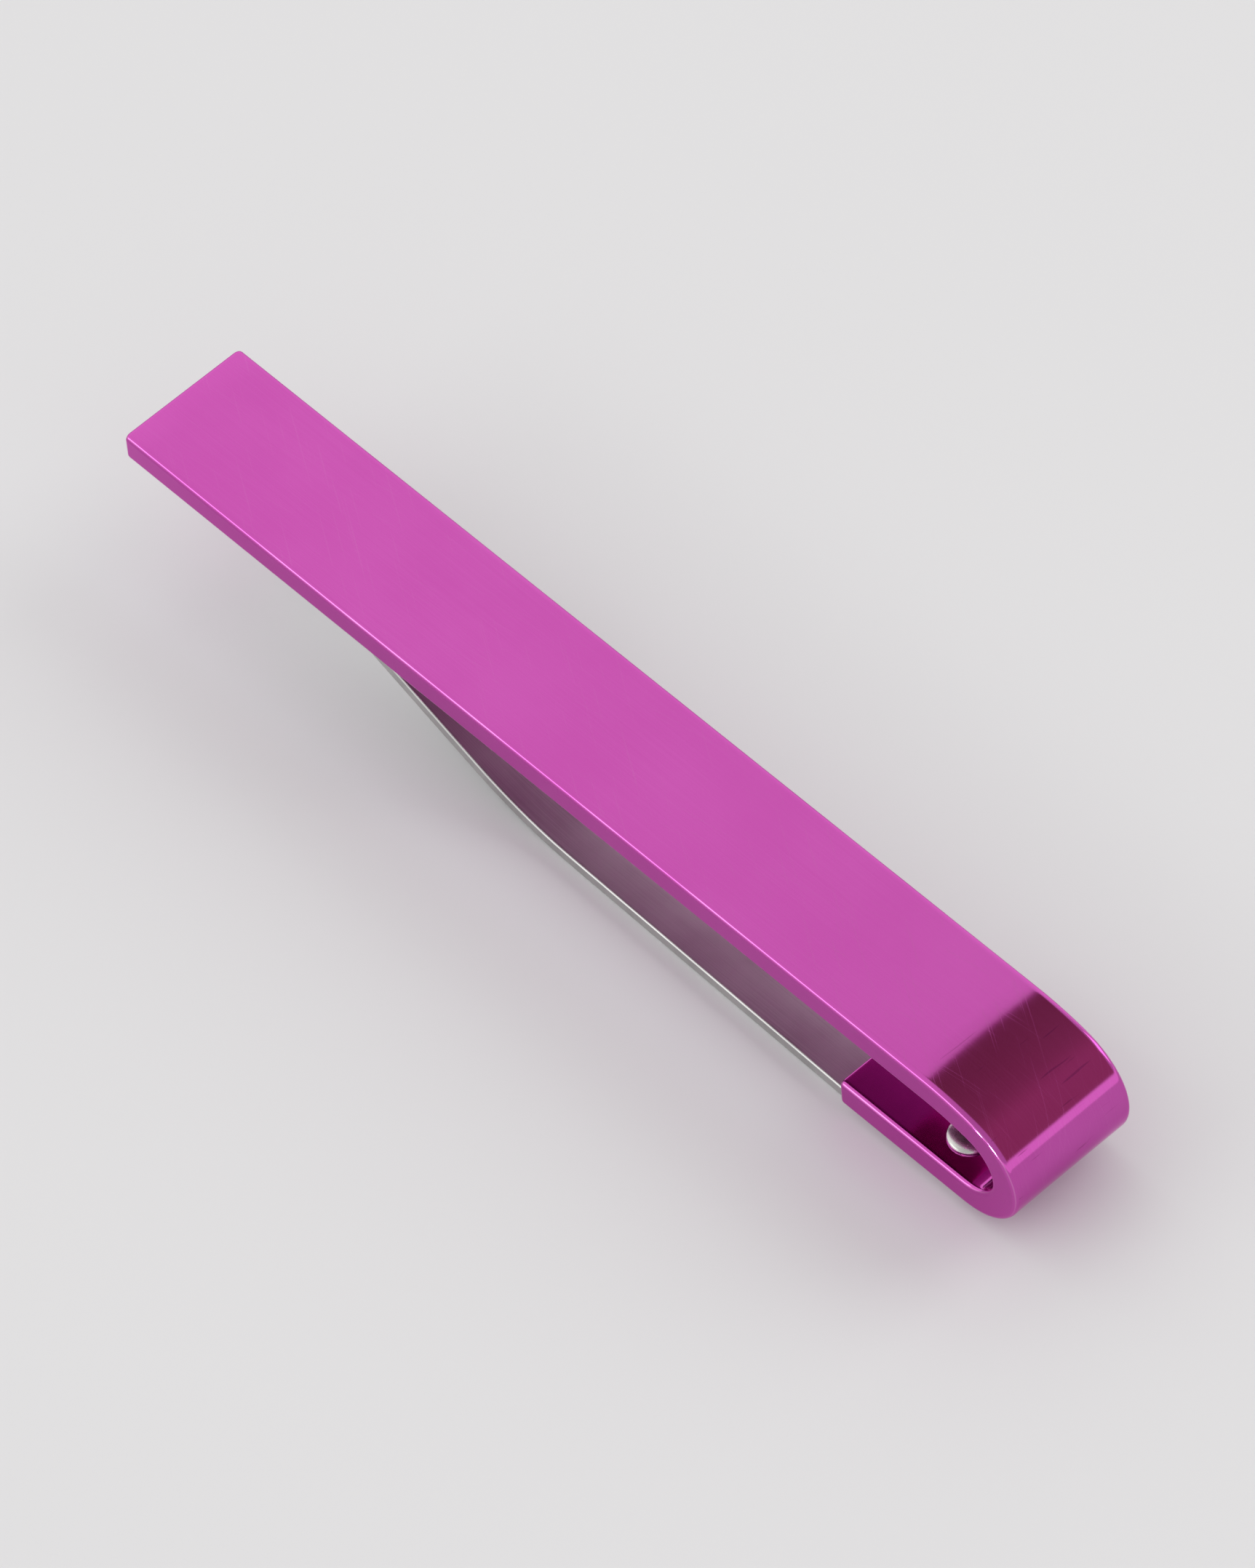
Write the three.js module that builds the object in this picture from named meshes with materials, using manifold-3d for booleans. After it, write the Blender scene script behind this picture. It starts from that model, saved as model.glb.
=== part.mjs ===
// Slide-on tie clip: a folded bar holds cloth against a spring leg that is riveted under its short return.
// Millimetres. +X runs along the bar to its bend, +Y across it, +Z up out of its face.
// The origin lies on the resting plane, under the middle of the clip.
import * as THREE from 'three';
import { mergeVertices } from 'three/addons/utils/BufferGeometryUtils.js';
import Module from 'manifold-3d';

const wasm = await Module();
wasm.setup();

const degrees = THREE.MathUtils.degToRad;
const QUARTER = degrees(90);

// Folded bar
const BAR_LENGTH = 44; // free end to the outside of the bend
const BAR_WIDTH = 5.5;
const BAR_THICKNESS = 1.2;
const BAR_EDGE = 0.2; // rounding of the long edges
const BAR_CORNER = 0.2; // rounding of the free end's corners, seen from above
const BEND_RADIUS = 2.55; // outside of the fold
const EASE_RADIUS = 10; // outside of the soft start of the fold
const EASE_ANGLE = degrees(14); // share of the turn that the soft start takes
const RETURN_LENGTH = 6; // flat part of the return

// Spring leg
const LEG_THICKNESS = 0.5;
const LEG_ROOT_WIDTH = 4.8;
const LEG_TIP_WIDTH = 3.4;
const FOOT_LENGTH = 2.6; // riveted part, from the fold's tangent to the line where the leg bends
const FOOT_CORNER = 0.8; // rounding of the foot's corners, seen from above
const FLEX_GAP = 0.3; // clearance between the foot and the part that bends away from it
const CREST_FROM_END = 8; // bar's free end to the crest
const CREST_GAP = 0.3; // clearance between the ridges and the bar's underside
const CREST_RADIUS = 5; // middle of the leaf over the crest
const RAMP_RADIUS = 14; // middle of the leaf where the ramp leaves the flat
const RAMP_ANGLE = degrees(20);
const FLARE_ANGLE = degrees(28);
const FLARE_LENGTH = 1.6; // straight part of the tip, past the crest's arc

// Grip ridges pressed across the crest
const RIDGE_COUNT = 3;
const RIDGE_PITCH = 0.9;
const RIDGE_HEIGHT = 0.15;
const RIDGE_RADIUS = 0.25;
const RIDGE_MARGIN = 0.5; // ridge's end to the leg's edge

// Rivets
const RIVET_SPACING = 2.5; // centre to centre across the bar
const RIVET_FROM_BEND = 1.2; // fold's tangent to the rivets
const RIVET_RADIUS = 0.5;
const RIVET_HEAD_RADIUS = 0.8;
const RIVET_HEAD_DEPTH = 0.3;
const RIVET_RECESS = 0.03; // head's face above the leg's underside
const RIVET_TAIL_RADIUS = 0.8;
const RIVET_TAIL_HEIGHT = 0.3;
const RIVET_CLEARANCE = 0.05; // rivet to its hole

const ARC_STEPS = 10; // half the number of facets on an arc
const ROUND_SIDES = 24; // facets round a rivet, a hole or a ridge
const DOME_STEPS = 4; // facets from the edge of a rivet's tail to its top
const EDGE_STEPS = 2; // facets round a long edge
const CUT_MARGIN = 1; // how far a cutter reaches past what it cuts
const WELD = 1e-5; // vertices nearer than this are one

// Places worked out from the sizes
const barEndX = -BAR_LENGTH / 2;
const bendX = BAR_LENGTH / 2 - BEND_RADIUS; // axis of the fold, where the return's flat starts
const returnZ = LEG_THICKNESS; // underside of the return, on top of the leg
const returnTopZ = returnZ + BAR_THICKNESS;
const bendZ = returnZ + BEND_RADIUS;
const faceZ = bendZ + BEND_RADIUS * Math.cos(EASE_ANGLE) + EASE_RADIUS * (1 - Math.cos(EASE_ANGLE));
const easeX = bendX - (EASE_RADIUS - BEND_RADIUS) * Math.sin(EASE_ANGLE);
const easeZ = faceZ - EASE_RADIUS;
const underZ = faceZ - BAR_THICKNESS;
const flexX = bendX - FOOT_LENGTH; // line where the leg bends
const rivetX = bendX - RIVET_FROM_BEND;
const rivetPlaces = { rivet_left: RIVET_SPACING / 2, rivet_right: -RIVET_SPACING / 2 };

const halfLeaf = LEG_THICKNESS / 2;
const crestX = barEndX + CREST_FROM_END;
const crestMidZ = underZ - CREST_GAP - RIDGE_HEIGHT - halfLeaf;
const crestZ = crestMidZ - CREST_RADIUS; // centre of the crest's arc
const arcsRise = (RAMP_RADIUS + CREST_RADIUS) * (1 - Math.cos(RAMP_ANGLE));
const rampLength = (crestMidZ - halfLeaf - arcsRise) / Math.sin(RAMP_ANGLE);
const arcsRun = (RAMP_RADIUS + CREST_RADIUS) * Math.sin(RAMP_ANGLE);
const rampX = crestX + arcsRun + rampLength * Math.cos(RAMP_ANGLE); // where the ramp leaves the flat
const tipX = crestX - (CREST_RADIUS + halfLeaf) * Math.sin(FLARE_ANGLE) - FLARE_LENGTH * Math.cos(FLARE_ANGLE);
const bladeX = flexX - FLEX_GAP / 2; // root end of the leg's bending part
const footX = flexX + FLEX_GAP / 2; // near end of the riveted foot

const anodised = new THREE.MeshStandardMaterial({ color: 0xc455ad, roughness: 0.15, metalness: 1 });
const springSteel = new THREE.MeshStandardMaterial({ color: 0xc6c6c4, roughness: 0.3, metalness: 1 });
const rivetSteel = new THREE.MeshStandardMaterial({ color: 0xd6d5d0, roughness: 0.25, metalness: 1 });

const point = (x, y) => new THREE.Vector2(x, y);

// Closed geometry to a solid that can be joined and cut
function toSolid(geometry) {
  const bare = geometry.clone();
  bare.deleteAttribute('normal');
  bare.deleteAttribute('uv');
  const welded = mergeVertices(bare, WELD);
  const vertProperties = Float32Array.from(welded.attributes.position.array);
  const triVerts = Uint32Array.from(welded.index.array);
  return new wasm.Manifold(new wasm.Mesh({ numProp: 3, vertProperties, triVerts }));
}

function toGeometry(solid) {
  const { vertProperties, triVerts } = solid.getMesh();
  const geometry = new THREE.BufferGeometry();
  geometry.setAttribute('position', new THREE.BufferAttribute(vertProperties, 3));
  geometry.setIndex(new THREE.BufferAttribute(triVerts, 1));
  geometry.computeVertexNormals();
  return geometry;
}

function piece(name, solid, material) {
  const mesh = new THREE.Mesh(toGeometry(solid), material);
  mesh.name = name;
  return mesh;
}

// Side outline in X and Z carried across the clip, with its long edges rounded if asked
function acrossY(outline, width, edge = 0) {
  const geometry = new THREE.ExtrudeGeometry(outline, {
    depth: width - 2 * edge,
    curveSegments: ARC_STEPS,
    bevelEnabled: edge > 0,
    bevelThickness: edge,
    bevelSize: edge,
    bevelOffset: -edge,
    bevelSegments: EDGE_STEPS,
  });
  geometry.translate(0, 0, edge - width / 2);
  return toSolid(geometry.rotateX(QUARTER));
}

// Plan outline in X and Y carried up from one height to another
function alongZ(outline, low, high) {
  const geometry = new THREE.ExtrudeGeometry(outline, {
    depth: high - low,
    curveSegments: ARC_STEPS,
    bevelEnabled: false,
  });
  return toSolid(geometry.translate(0, 0, low));
}

// Profile of radius and height points, turned about a rivet's axis
function turned(profile, y) {
  return toSolid(new THREE.LatheGeometry(profile, ROUND_SIDES).rotateX(QUARTER).translate(rivetX, y, 0));
}

// Room for a rivet: a countersink under the leg and a straight hole up through the return
function rivetHole(y) {
  const head = RIVET_HEAD_RADIUS + RIVET_CLEARANCE;
  const shank = RIVET_RADIUS + RIVET_CLEARANCE;
  const high = returnTopZ + RIVET_TAIL_HEIGHT;
  return turned([
    point(0, -CUT_MARGIN),
    point(head, -CUT_MARGIN),
    point(head, RIVET_RECESS),
    point(shank, RIVET_RECESS + RIVET_HEAD_DEPTH),
    point(shank, high),
    point(0, high),
  ], y);
}

function cutRivetHoles(solid) {
  return Object.values(rivetPlaces).reduce((left, y) => left.subtract(rivetHole(y)), solid);
}

// Strip bent round the fold: along the outside to the return's cut end, then back along the inside
function foldedBar() {
  const outline = new THREE.Shape();
  const foldStart = QUARTER - EASE_ANGLE;
  const returnEndX = bendX - RETURN_LENGTH;
  outline.moveTo(barEndX, faceZ);
  outline.lineTo(easeX, faceZ);
  outline.absarc(easeX, easeZ, EASE_RADIUS, QUARTER, foldStart, true);
  outline.absarc(bendX, bendZ, BEND_RADIUS, foldStart, -QUARTER, true);
  outline.lineTo(returnEndX, returnZ);
  outline.lineTo(returnEndX, returnTopZ);
  outline.absarc(bendX, bendZ, BEND_RADIUS - BAR_THICKNESS, -QUARTER, foldStart, false);
  outline.absarc(easeX, easeZ, EASE_RADIUS - BAR_THICKNESS, foldStart, QUARTER, false);
  outline.lineTo(barEndX, underZ);
  outline.closePath();

  // Plan with the free end's corners rounded, and wider than the bar behind them
  const plan = new THREE.Shape();
  const cornerX = barEndX + BAR_CORNER;
  const cornerY = BAR_WIDTH / 2 - BAR_CORNER;
  const farX = BAR_LENGTH / 2 + CUT_MARGIN;
  const sideY = BAR_WIDTH / 2 + CUT_MARGIN;
  plan.moveTo(farX, sideY);
  plan.lineTo(cornerX, sideY);
  plan.absarc(cornerX, cornerY, BAR_CORNER, QUARTER, 2 * QUARTER, false);
  plan.absarc(cornerX, -cornerY, BAR_CORNER, 2 * QUARTER, 3 * QUARTER, false);
  plan.lineTo(cornerX, -sideY);
  plan.lineTo(farX, -sideY);
  plan.closePath();

  const strip = acrossY(outline, BAR_WIDTH, BAR_EDGE);
  const rounded = strip.intersect(alongZ(plan, returnZ - CUT_MARGIN, faceZ + CUT_MARGIN));
  return piece('folded_bar', cutRivetHoles(rounded), anodised);
}

// Riveted end of the leg, flat under the return
function legFoot() {
  const plan = new THREE.Shape();
  const halfWidth = LEG_ROOT_WIDTH / 2;
  const cornerX = bendX - FOOT_CORNER;
  const cornerY = halfWidth - FOOT_CORNER;
  plan.moveTo(footX, -halfWidth);
  plan.lineTo(cornerX, -halfWidth);
  plan.absarc(cornerX, -cornerY, FOOT_CORNER, -QUARTER, 0, false);
  plan.absarc(cornerX, cornerY, FOOT_CORNER, 0, QUARTER, false);
  plan.lineTo(footX, halfWidth);
  plan.closePath();
  return piece('leg_foot', cutRivetHoles(alongZ(plan, 0, LEG_THICKNESS)), springSteel);
}

// Width of the leg, which tapers evenly from its root to the centre of its round tip
function legWidth(x) {
  const tipCentreX = tipX + LEG_TIP_WIDTH / 2;
  return THREE.MathUtils.mapLinear(x, bladeX, tipCentreX, LEG_ROOT_WIDTH, LEG_TIP_WIDTH);
}

// Leaf seen from the side: flat, ramp, crest and flared tip along the top, then back along the underside
function legSide() {
  const side = new THREE.Shape();
  const rampZ = halfLeaf + RAMP_RADIUS;
  const flareX = -FLARE_LENGTH * Math.cos(FLARE_ANGLE);
  const flareZ = -FLARE_LENGTH * Math.sin(FLARE_ANGLE);
  const inner = CREST_RADIUS - halfLeaf;
  side.moveTo(bladeX, LEG_THICKNESS);
  side.lineTo(rampX, LEG_THICKNESS);
  side.absarc(rampX, rampZ, RAMP_RADIUS - halfLeaf, -QUARTER, -QUARTER - RAMP_ANGLE, true);
  side.absarc(crestX, crestZ, CREST_RADIUS + halfLeaf, QUARTER - RAMP_ANGLE, QUARTER + FLARE_ANGLE, false);
  side.lineTo(side.currentPoint.x + flareX, side.currentPoint.y + flareZ);
  side.lineTo(
    crestX - inner * Math.sin(FLARE_ANGLE) + flareX,
    crestZ + inner * Math.cos(FLARE_ANGLE) + flareZ,
  );
  side.absarc(crestX, crestZ, inner, QUARTER + FLARE_ANGLE, QUARTER - RAMP_ANGLE, true);
  side.absarc(rampX, rampZ, RAMP_RADIUS + halfLeaf, -QUARTER - RAMP_ANGLE, -QUARTER, false);
  side.lineTo(bladeX, 0);
  side.closePath();
  return side;
}

// Half-round ridge across the crest, at an angle from its top
function gripRidge(angle) {
  const reach = CREST_RADIUS + halfLeaf + RIDGE_HEIGHT - RIDGE_RADIUS;
  const length = legWidth(crestX) - 2 * RIDGE_MARGIN;
  const rod = new THREE.CylinderGeometry(RIDGE_RADIUS, RIDGE_RADIUS, length, ROUND_SIDES);
  return toSolid(rod.translate(crestX - reach * Math.sin(angle), 0, crestZ + reach * Math.cos(angle)));
}

// Bending part of the leg
function springLeg() {
  const plan = new THREE.Shape();
  const tipRadius = LEG_TIP_WIDTH / 2;
  plan.moveTo(bladeX, LEG_ROOT_WIDTH / 2);
  plan.lineTo(tipX + tipRadius, tipRadius);
  plan.absarc(tipX + tipRadius, 0, tipRadius, QUARTER, 3 * QUARTER, false);
  plan.lineTo(bladeX, -LEG_ROOT_WIDTH / 2);
  plan.closePath();

  const leaf = acrossY(legSide(), LEG_ROOT_WIDTH + 2 * CUT_MARGIN);
  let solid = leaf.intersect(alongZ(plan, -CUT_MARGIN, faceZ));
  for (let ridge = 0; ridge < RIDGE_COUNT; ridge += 1) {
    const along = (ridge - (RIDGE_COUNT - 1) / 2) * RIDGE_PITCH;
    solid = solid.add(gripRidge(along / (CREST_RADIUS + halfLeaf)));
  }
  return piece('spring_leg', solid, springSteel);
}

// Rivet with a countersunk head under the leg and a low domed tail on the return
function rivet(name, y) {
  const profile = [
    point(0, RIVET_RECESS),
    point(RIVET_HEAD_RADIUS, RIVET_RECESS),
    point(RIVET_RADIUS, RIVET_RECESS + RIVET_HEAD_DEPTH),
    point(RIVET_RADIUS, returnTopZ),
  ];
  for (let step = 0; step < DOME_STEPS; step += 1) {
    const angle = (step / DOME_STEPS) * QUARTER;
    profile.push(point(RIVET_TAIL_RADIUS * Math.cos(angle), returnTopZ + RIVET_TAIL_HEIGHT * Math.sin(angle)));
  }
  profile.push(point(0, returnTopZ + RIVET_TAIL_HEIGHT));
  return piece(name, turned(profile, y), rivetSteel);
}

// The bar carries the riveted end of the leg; the leg's long part bends away from both
const barGroup = new THREE.Group();
barGroup.add(foldedBar(), legFoot());
for (const [name, y] of Object.entries(rivetPlaces)) {
  barGroup.add(rivet(name, y));
}

const tieClip = new THREE.Group();
tieClip.add(barGroup, springLeg());

export default tieClip;
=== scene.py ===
"""Looks of a slide-on tie clip: a dyed and polished folded bar, its riveted spring leaf and two rivets.

Lengths are metres in the model's own frame: +X runs along the bar to its bend, +Y across it, and +Z up out of
its face.
"""

from __future__ import annotations

import logging
import math
from dataclasses import dataclass
from enum import Enum
from typing import Any, Mapping, Sequence, Union

import bpy
import numpy as np
from mathutils import Matrix, Vector

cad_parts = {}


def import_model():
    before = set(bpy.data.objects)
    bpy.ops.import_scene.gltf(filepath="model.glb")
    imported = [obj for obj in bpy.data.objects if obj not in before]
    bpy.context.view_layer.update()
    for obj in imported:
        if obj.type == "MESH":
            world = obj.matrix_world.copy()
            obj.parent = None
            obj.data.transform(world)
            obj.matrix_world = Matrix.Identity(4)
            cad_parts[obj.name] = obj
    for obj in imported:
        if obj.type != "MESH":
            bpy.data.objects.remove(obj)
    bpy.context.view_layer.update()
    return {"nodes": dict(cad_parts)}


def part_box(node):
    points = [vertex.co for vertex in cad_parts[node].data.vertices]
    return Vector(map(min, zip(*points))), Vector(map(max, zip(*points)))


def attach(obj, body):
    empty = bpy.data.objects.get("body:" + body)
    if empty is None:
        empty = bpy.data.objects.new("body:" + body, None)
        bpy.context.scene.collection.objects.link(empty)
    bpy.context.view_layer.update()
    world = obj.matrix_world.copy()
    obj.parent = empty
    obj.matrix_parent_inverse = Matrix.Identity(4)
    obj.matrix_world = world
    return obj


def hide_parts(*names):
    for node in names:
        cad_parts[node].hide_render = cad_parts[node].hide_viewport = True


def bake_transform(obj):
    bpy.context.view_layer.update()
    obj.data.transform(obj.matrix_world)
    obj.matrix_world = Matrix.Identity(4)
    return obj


Array = np.ndarray
Band = tuple[float, float]
Colour = tuple[float, float, float]
Material = bpy.types.Material
Number = Union[float, "Term"]
Piece = bpy.types.Object

MM = 0.001
PHOTO_SIZE = (1725, 2156)
SHARP_ANGLE = math.radians(32)
QUARTER = math.pi / 2

log = logging.getLogger("tie_clip")


class Body(Enum):
    """Moving bodies of the clip."""

    BAR = "bar"
    LEG = "leg"


class Slot(Enum):
    """Material slots of the record."""

    BAR = "anodised_bar"
    LEAF = "spring_steel"
    RIVET = "rivet_steel"


class RivetSide(Enum):
    """The two rivets, by their nodes."""

    LEFT = "rivet_left"
    RIGHT = "rivet_right"

    @property
    def sign(self) -> float:
        """Side of the bar's middle: 1 towards +Y and -1 towards -Y."""
        return 1.0 if self is RivetSide.LEFT else -1.0


def socket_of(sockets: Any, key: str | int) -> bpy.types.NodeSocket:
    """Finds a socket of a node.

    Args:
        sockets: The node's inputs or outputs.
        key: The socket's place, identifier or name.

    Returns:
        The socket.
    """
    if isinstance(key, int):
        return sockets[key]
    return next((each for each in sockets if each.identifier == key), None) or sockets[key]


def rgba(colour: Colour | Term) -> tuple[float, ...] | Term:
    """A colour as a socket takes it: three values get an alpha of 1, and a link stays one."""
    return colour if isinstance(colour, Term) else (*colour, 1.0)


@dataclass(frozen=True)
class Term:
    """One output of a node, for Python arithmetic: each operator adds a Math node."""

    graph: Graph
    node: bpy.types.Node
    output: str | int = 0

    @property
    def socket(self) -> bpy.types.NodeSocket:
        """The output socket."""
        return socket_of(self.node.outputs, self.output)

    def out(self, name: str) -> Term:
        """Another output of the same node."""
        return Term(self.graph, self.node, name)

    def _math(self, operation: str, first: Number, second: Number) -> Term:
        """One Math node on two values."""
        return self.graph.node("ShaderNodeMath", {"operation": operation}, {0: first, 1: second})

    def __add__(self, other: Number) -> Term:
        """Sum."""
        return self._math("ADD", self, other)

    def __sub__(self, other: Number) -> Term:
        """Difference."""
        return self._math("SUBTRACT", self, other)

    def __rsub__(self, other: Number) -> Term:
        """Difference from a number, as in 1 - mask."""
        return self._math("SUBTRACT", other, self)

    def __mul__(self, other: Number) -> Term:
        """Product."""
        return self._math("MULTIPLY", self, other)

    def __truediv__(self, other: Number) -> Term:
        """Quotient."""
        return self._math("DIVIDE", self, other)

    __radd__ = __add__
    __rmul__ = __mul__


class Graph:
    """A node tree written as Python expressions."""

    def __init__(self, tree: bpy.types.NodeTree) -> None:
        """Takes a tree over and empties it."""
        self.tree = tree
        tree.nodes.clear()

    def node(
        self,
        kind: str,
        settings: Mapping[str, Any] | None = None,
        sockets: Mapping[str | int, Any] | None = None,
        output: str | int = 0,
    ) -> Term:
        """Adds one node.

        Args:
            kind: The node's type.
            settings: Values of the node itself, which are set first.
            sockets: Values or links of its inputs, by place, identifier or name.
            output: Which output stands for the node in expressions.

        Returns:
            The node's output.
        """
        node = self.tree.nodes.new(kind)
        for name, value in (settings or {}).items():
            setattr(node, name, value)
        for key, value in (sockets or {}).items():
            socket = socket_of(node.inputs, key)
            if isinstance(value, Term):
                self.tree.links.new(value.socket, socket)
            else:
                socket.default_value = value
        return Term(self, node, output)

    def attribute(self, name: str) -> Term:
        """A value that the mesh holds at its points."""
        return self.node("ShaderNodeAttribute", {"attribute_name": name}, output="Fac")

    def place(self) -> Term:
        """Object coordinates, in metres."""
        return self.node("ShaderNodeTexCoord", output="Object")

    def vector(self, x: Number, y: Number, z: Number = 0.0) -> Term:
        """Three values as one vector."""
        return self.node("ShaderNodeCombineXYZ", None, {0: x, 1: y, 2: z})

    def split(self, vector: Term) -> tuple[Term, Term, Term]:
        """The three values of a vector."""
        parts = self.node("ShaderNodeSeparateXYZ", None, {0: vector})
        return parts, parts.out("Y"), parts.out("Z")

    def scaled(self, vector: Term, cell: float) -> Term:
        """A vector counted in cells of a size."""
        return self.node("ShaderNodeVectorMath", {"operation": "SCALE"}, {0: vector, "Scale": 1.0 / cell})

    def noise(self, vector: Term, detail: float, roughness: float = 0.5) -> Term:
        """Smooth noise about 0.5, with one cell to each unit of the vector."""
        sockets = {"Vector": vector, "Scale": 1.0, "Detail": detail, "Roughness": roughness}
        return self.node("ShaderNodeTexNoise", None, sockets, "Fac")

    def smooth(self, value: Term, low: float, high: float) -> Term:
        """Rises smoothly from 0 at low to 1 at high."""
        sockets = {"Value": value, "From Min": low, "From Max": high}
        return self.node("ShaderNodeMapRange", {"interpolation_type": "SMOOTHSTEP"}, sockets)

    def step(self, value: Term, middle: float, soft: float) -> Term:
        """Rises smoothly from 0 to 1 about a middle, over soft to either side of it."""
        return self.smooth(value, middle - soft, middle + soft)

    def mix(self, share: Term, first: Colour | Term, second: Colour | Term) -> Term:
        """A colour between two others."""
        sockets = {"Factor_Float": share, "A_Color": rgba(first), "B_Color": rgba(second)}
        return self.node("ShaderNodeMix", {"data_type": "RGBA"}, sockets, "Result_Color")

    def bump(self, height: Term, depth: float) -> Term:
        """A normal tilted by a height from 0 to 1 that stands for a depth in metres."""
        return self.node("ShaderNodeBump", None, {"Height": height, "Distance": depth})

    def principled(self, sockets: Mapping[str, Any]) -> None:
        """Ends a material in one Principled shader."""
        shader = self.node("ShaderNodeBsdfPrincipled", None, sockets)
        self.node("ShaderNodeOutputMaterial", None, {"Surface": shader})


def new_material(name: str) -> tuple[Material, Graph]:
    """Starts a material.

    Args:
        name: The material's name.

    Returns:
        The material and its empty graph.
    """
    material = bpy.data.materials.new(name)
    material.use_nodes = True
    return material, Graph(material.node_tree)


@dataclass(frozen=True)
class Mark:
    """How strongly a pattern shows: its weight in the colour, the roughness that it adds, and its height."""

    colour: float = 0.0
    roughness: float = 0.0
    height: float = 0.0


@dataclass(frozen=True)
class DyedPolish:
    """Polished aluminium under a clear, dyed oxide skin: fine lengthwise lines, hairlines and rubbed edges.

    Each pattern is noise in cells of the given sizes, and one with a band comes in over those values.
    """

    name: str = "dyed_polish"
    dye: Colour = (0.556, 0.082, 0.418)
    deep_dye: Colour = (0.530, 0.070, 0.392)
    fold_mark_colour: Colour = (0.260, 0.020, 0.160)
    rubbed: Colour = (0.740, 0.270, 0.610)
    grazing: Colour = (0.950, 0.500, 0.850)
    gloss: float = 0.075
    skin: float = 0.35
    skin_roughness: float = 0.03
    skin_ior: float = 1.5
    line_length: float = 9.0 * MM
    line_width: float = 0.05 * MM
    line_mark: Mark = Mark(colour=0.5, roughness=0.03, height=0.35)
    cloud_size: float = 4.5 * MM
    cloud_mark: Mark = Mark(colour=0.5, roughness=0.02)
    tone_band: Band = (0.35, 0.65)
    hair_length: float = 3.5 * MM
    hair_width: float = 0.045 * MM
    hair_angles: Sequence[float] = (math.radians(9), math.radians(-31))
    hair_band: Band = (0.74, 0.80)
    hair_mark: Mark = Mark(colour=0.08, roughness=0.05, height=-0.25)
    # short dark marks across the fold: their size, noise layer, band and weight
    fold_mark_length: float = 2.2 * MM
    fold_mark_width: float = 0.15 * MM
    fold_mark_layer: float = 3.0
    fold_mark_band: Band = (0.67, 0.74)
    fold_mark_weight: Mark = Mark(colour=0.65, roughness=0.06)
    rub_least: float = 0.4
    rub_band: Band = (0.45, 1.0)
    rub_mark: Mark = Mark(colour=0.6, roughness=0.08)
    peel_size: float = 0.35 * MM
    peel_height: float = 1.2
    relief: float = 0.00022 * MM

    def hairlines(self, graph: Graph, run: Term, across: Term, angle: float) -> Term:
        """Sparse fine scratches at an angle to the length: the peaks of noise drawn out that way.

        Args:
            graph: The material's graph.
            run: Distance along the strip.
            across: Distance across it.
            angle: Turn of the scratches from the strip's length.

        Returns:
            1 in a scratch and 0 elsewhere.
        """
        along = run * math.cos(angle) + across * math.sin(angle)
        beside = across * math.cos(angle) - run * math.sin(angle)
        drawn_out = graph.vector(along / self.hair_length, beside / self.hair_width, angle)
        return graph.smooth(graph.noise(drawn_out, detail=0.0), *self.hair_band)

    def dark_fold_marks(self, graph: Graph, run: Term, across: Term) -> Term:
        """Short fine dark marks across the fold: the peaks of drawn-out noise.

        Args:
            graph: The material's graph.
            run: Distance along the strip.
            across: Distance across it.

        Returns:
            1 in a mark and 0 elsewhere.
        """
        drawn_out = graph.vector(run / self.fold_mark_width, across / self.fold_mark_length, self.fold_mark_layer)
        return graph.smooth(graph.noise(drawn_out, detail=1.0), *self.fold_mark_band) * graph.attribute("fold")

    def material(self) -> Material:
        """Makes the finish.

        Returns:
            The material.
        """
        material, graph = new_material(self.name)
        run, across, edge, face = (graph.attribute(each) for each in ("run", "across", "edge", "face"))
        place = graph.place()
        drawn_out = graph.vector(run / self.line_length, across / self.line_width)
        lines = graph.noise(drawn_out, detail=3.0, roughness=0.6)
        cloud = graph.noise(graph.scaled(place, self.cloud_size), detail=3.0)
        peel = graph.noise(graph.scaled(place, self.peel_size), detail=1.0)
        hairs = face * sum(self.hairlines(graph, run, across, angle) for angle in self.hair_angles)
        dark_fold_marks = self.dark_fold_marks(graph, run, across)
        rub = graph.smooth(edge * (self.rub_least + cloud), *self.rub_band)
        tone = graph.smooth(cloud * self.cloud_mark.colour + lines * self.line_mark.colour, *self.tone_band)
        paler = rub * self.rub_mark.colour + hairs * self.hair_mark.colour
        dyed = graph.mix(paler, graph.mix(tone, self.deep_dye, self.dye), self.rubbed)
        height = lines * self.line_mark.height + peel * self.peel_height + hairs * self.hair_mark.height
        dulling = zip(
            (lines, cloud, hairs, rub, dark_fold_marks),
            (self.line_mark, self.cloud_mark, self.hair_mark, self.rub_mark, self.fold_mark_weight),
        )
        graph.principled({
            # short dark marks across the fold turn the dye darker here
            "Base Color": graph.mix(dark_fold_marks * self.fold_mark_weight.colour, dyed, self.fold_mark_colour),
            "Metallic": 1.0,
            "Specular Tint": rgba(self.grazing),
            "Roughness": sum((pattern * mark.roughness for pattern, mark in dulling), self.gloss),
            "Coat Weight": self.skin,
            "Coat Roughness": self.skin_roughness,
            "Coat IOR": self.skin_ior,
            "Normal": graph.bump(height, self.relief),
        })
        return material


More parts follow.
